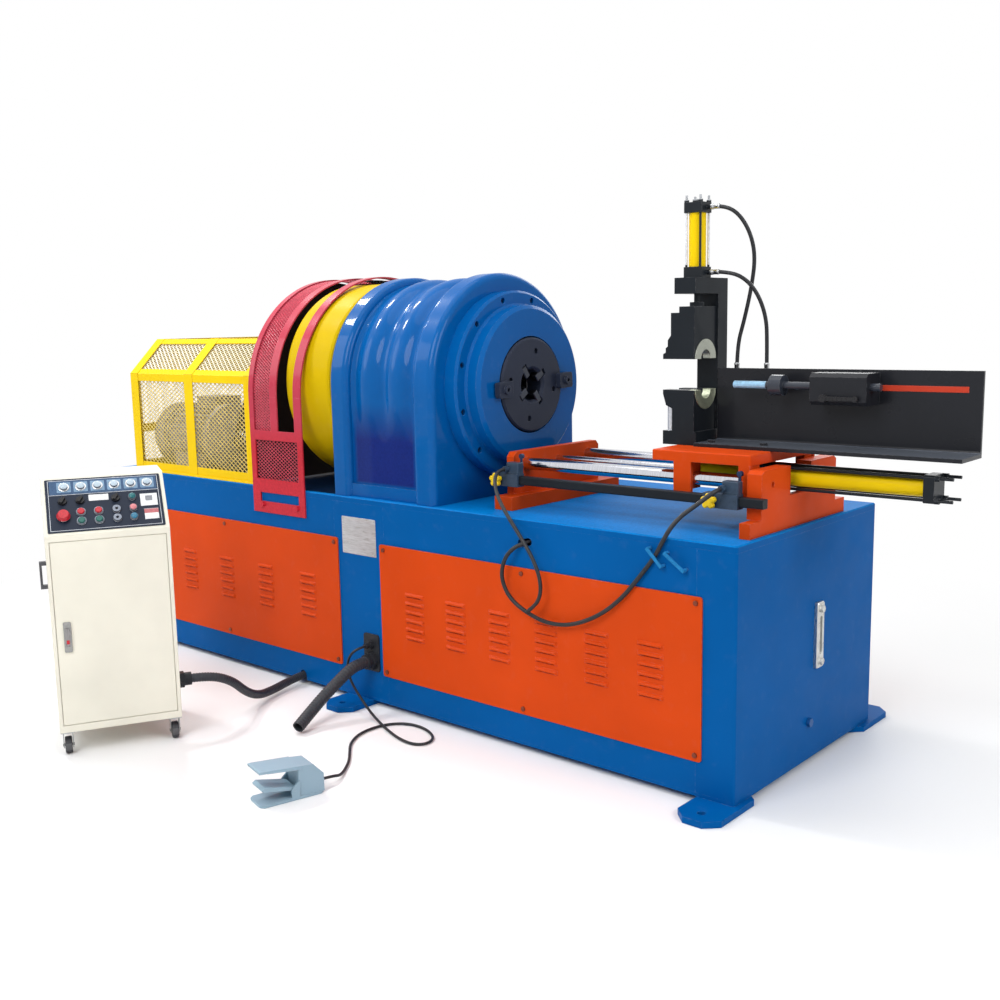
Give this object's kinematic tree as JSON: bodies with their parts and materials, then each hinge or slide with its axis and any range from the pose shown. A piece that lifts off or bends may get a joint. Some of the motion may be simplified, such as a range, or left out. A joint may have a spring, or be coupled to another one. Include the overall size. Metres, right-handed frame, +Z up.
{
  "type": "pipe embossing machine",
  "caption": "Floor-standing pipe embossing machine: belt-driven rotating die head, hydraulic feed carriage with clamp and pipe stop, control cabinet and foot switch.",
  "frame": {"origin": "on the floor, in the middle of the corner foot bolt holes of the bed", "axes": "+X along the bed towards the feed end, +Y to the rear, +Z up"},
  "size_m": [3.91, 2.1839, 1.8745],
  "materials": {
    "blue_paint": "gloss paint",
    "orange_paint": "satin paint",
    "steel_screw": "plated",
    "tank_paint": "matt paint",
    "gauge_metal": "satin",
    "head_paint": "gloss paint over cast iron",
    "cover_metal": "gloss paint",
    "shaft_steel": "ground",
    "head_black": "blackened",
    "die_steel": "ground tool steel",
    "yellow_paint": "gloss paint",
    "belt_rubber": "matt",
    "motor_paint": "satin paint",
    "red_paint": "gloss paint",
    "mesh_metal": "paint",
    "chrome_rod": "polished",
    "cylinder_black": "satin black",
    "clamp_black": "satin black",
    "trough_black": "satin black",
    "switch_grey": "satin",
    "knob_yellow": "smooth",
    "cream_paint": "satin powder coat",
    "lock_metal": "satin",
    "panel_navy": "satin",
    "red_button": "smooth",
    "green_button": "smooth",
    "black_plastic": "smooth",
    "wheel_rubber": "matt",
    "pedal_paint": "hammered",
    "gland_black": "matt",
    "conduit_black": "corrugated matt",
    "cable_black": "matt"
  },
  "bodies": {
    "machine": {"bed_frame": "blue_paint", "side_panels": "orange_paint", "screws": "steel_screw", "hydraulic_unit": "tank_paint", "oil_gauge": "gauge_metal", "headstock": "head_paint", "front_cover": "cover_metal", "spindle_bearings": "shaft_steel", "drive_belts": "belt_rubber", "main_motor": "motor_paint", "motor_cage": "yellow_paint", "belt_guard": "red_paint", "guard_meshes": "mesh_metal", "rail_brackets": "orange_paint", "guide_rods": "chrome_rod", "switch_rail": "clamp_black", "cabinet_shell": "cream_paint", "control_panel": "panel_navy", "pedal_base": "pedal_paint", "post_glands": "gland_black", "supply_conduit": "conduit_black", "stub_conduit": "conduit_black", "pedal_cable": "cable_black", "switch_cables": "cable_black"},
    "spindle_unit": {"spindle": "shaft_steel", "die_head": "head_black", "die_inserts": "die_steel", "flywheel": "yellow_paint", "belt_pulley": "shaft_steel"},
    "motor_pulley": {"motor_pulley": "shaft_steel"},
    "carriage": {"carriage": "orange_paint", "cylinder_barrels": "yellow_paint", "cylinder_heads": "cylinder_black", "clamp_frame": "clamp_black", "lower_die": "die_steel", "trough": "trough_black", "clamp_hoses": "cable_black"},
    "upper_jaw": {"upper_jaw": "clamp_black", "upper_die": "die_steel"},
    "stop_bar": {"stop_bar": "chrome_rod"},
    "stop_lever": {"stop_lever": "black_plastic"},
    "switch_left": {"switch_left": "switch_grey"},
    "switch_right": {"switch_right": "switch_grey"},
    "lever_left": {"lever_left": "steel_screw"},
    "lever_right": {"lever_right": "steel_screw"},
    "knob_left": {"knob_left": "knob_yellow"},
    "knob_right": {"knob_right": "knob_yellow"},
    "cabinet_door": {"cabinet_door": "cream_paint"},
    "door_lock": {"door_lock": "lock_metal"},
    "wheels_front": {"wheels_front": "wheel_rubber"},
    "wheels_rear": {"wheels_rear": "wheel_rubber"},
    "pedal_tread": {"pedal_tread": "pedal_paint"},
    "stop_mushroom": {"stop_mushroom": "red_button"},
    "stop_button_1": {"stop_button_1": "red_button"},
    "stop_button_2": {"stop_button_2": "red_button"},
    "start_button_1": {"start_button_1": "green_button"},
    "start_button_2": {"start_button_2": "green_button"},
    "selector_1": {"selector_1": "black_plastic"},
    "selector_2": {"selector_2": "black_plastic"},
    "selector_3": {"selector_3": "black_plastic"}
  },
  "joints": [
    {"name": "spindle_turn", "type": "hinge", "parent": "machine", "child": "spindle_unit", "pos_m": [0, -0.06, 1.243], "axis": [1, 0, 0], "continuous": true},
    {"name": "motor_turn", "type": "hinge", "parent": "machine", "child": "motor_pulley", "pos_m": [-0.9, -0.27, 0.98], "axis": [1, 0, 0], "continuous": true},
    {"name": "carriage_feed", "type": "slide", "parent": "machine", "child": "carriage", "axis": [-1, 0, 0], "range_m": [0, 0.55]},
    {"name": "jaw_clamp", "type": "slide", "parent": "carriage", "child": "upper_jaw", "axis": [0, 0, -1], "range_m": [0, 0.101]},
    {"name": "stop_slide", "type": "slide", "parent": "carriage", "child": "stop_bar", "axis": [1, 0, 0], "range_m": [-0.07, 0.09]},
    {"name": "stop_lever_turn", "type": "hinge", "parent": "carriage", "child": "stop_lever", "pos_m": [1.762, -0.106, 1.228], "axis": [0, -1, 0], "range_deg": [-90, 30]},
    {"name": "switch_left_slide", "type": "slide", "parent": "machine", "child": "switch_left", "axis": [1, 0, 0], "range_m": [0, 0.12]},
    {"name": "switch_right_slide", "type": "slide", "parent": "machine", "child": "switch_right", "axis": [1, 0, 0], "range_m": [-0.12, 0]},
    {"name": "lever_left_swing", "type": "hinge", "parent": "switch_left", "child": "lever_left", "pos_m": [0.726, -0.315, 0.97], "axis": [0, 1, 0], "range_deg": [-25, 25], "stiffness_Nm_per_rad": 0.05},
    {"name": "lever_right_swing", "type": "hinge", "parent": "switch_right", "child": "lever_right", "pos_m": [1.596, -0.315, 0.97], "axis": [0, 1, 0], "range_deg": [-25, 25], "stiffness_Nm_per_rad": 0.05},
    {"name": "knob_left_turn", "type": "hinge", "parent": "switch_left", "child": "knob_left", "pos_m": [0.65, -0.365, 0.923], "axis": [0, -1, 0], "range_deg": [-180, 180]},
    {"name": "knob_right_turn", "type": "hinge", "parent": "switch_right", "child": "knob_right", "pos_m": [1.52, -0.365, 0.923], "axis": [0, -1, 0], "range_deg": [-180, 180]},
    {"name": "door_hinge", "type": "hinge", "parent": "machine", "child": "cabinet_door", "pos_m": [-0.18229, -1.18792, 0.437], "axis": [0, 0, 1], "range_deg": [0, 110]},
    {"name": "lock_turn", "type": "hinge", "parent": "cabinet_door", "child": "door_lock", "pos_m": [-0.34189, -1.49941, 0.428], "axis": [0.89, -0.456, 0], "range_deg": [0, 90]},
    {"name": "wheels_front_roll", "type": "hinge", "parent": "machine", "child": "wheels_front", "pos_m": [-0.30234, -1.34326, 0.03], "axis": [0.456, 0.89, 0], "continuous": true},
    {"name": "wheels_rear_roll", "type": "hinge", "parent": "machine", "child": "wheels_rear", "pos_m": [-0.57467, -1.20372, 0.03], "axis": [0.456, 0.89, 0], "continuous": true},
    {"name": "pedal_press", "type": "hinge", "parent": "machine", "child": "pedal_tread", "pos_m": [0.52407, -1.24627, 0.034], "axis": [0.9659, -0.2588, 0], "range_deg": [0, 8], "stiffness_Nm_per_rad": 8, "springref_deg": -2.86},
    {"name": "stop_mushroom_press", "type": "slide", "parent": "machine", "child": "stop_mushroom", "axis": [-0.647, 0.3315, -0.6866], "range_m": [0, 0.004], "stiffness_N_per_m": 400, "springref_m": -0.002},
    {"name": "stop_button_1_press", "type": "slide", "parent": "machine", "child": "stop_button_1", "axis": [-0.647, 0.3315, -0.6866], "range_m": [0, 0.003], "stiffness_N_per_m": 400, "springref_m": -0.002},
    {"name": "stop_button_2_press", "type": "slide", "parent": "machine", "child": "stop_button_2", "axis": [-0.647, 0.3315, -0.6866], "range_m": [0, 0.003], "stiffness_N_per_m": 400, "springref_m": -0.002},
    {"name": "start_button_1_press", "type": "slide", "parent": "machine", "child": "start_button_1", "axis": [-0.647, 0.3315, -0.6866], "range_m": [0, 0.003], "stiffness_N_per_m": 400, "springref_m": -0.002},
    {"name": "start_button_2_press", "type": "slide", "parent": "machine", "child": "start_button_2", "axis": [-0.647, 0.3315, -0.6866], "range_m": [0, 0.003], "stiffness_N_per_m": 400, "springref_m": -0.002},
    {"name": "selector_1_turn", "type": "hinge", "parent": "machine", "child": "selector_1", "pos_m": [-0.41187, -1.44445, 0.89204], "axis": [0.647, -0.3315, 0.6866], "range_deg": [-45, 45]},
    {"name": "selector_2_turn", "type": "hinge", "parent": "machine", "child": "selector_2", "pos_m": [-0.38543, -1.39283, 0.89204], "axis": [0.647, -0.3315, 0.6866], "range_deg": [-45, 45]},
    {"name": "selector_3_turn", "type": "hinge", "parent": "machine", "child": "selector_3", "pos_m": [-0.33162, -1.28781, 0.89204], "axis": [0.647, -0.3315, 0.6866], "range_deg": [-45, 45]}
  ],
  "couplings": [
    {"joint": "motor_turn", "follows": "spindle_turn", "ratio": 2.7094}
  ]
}
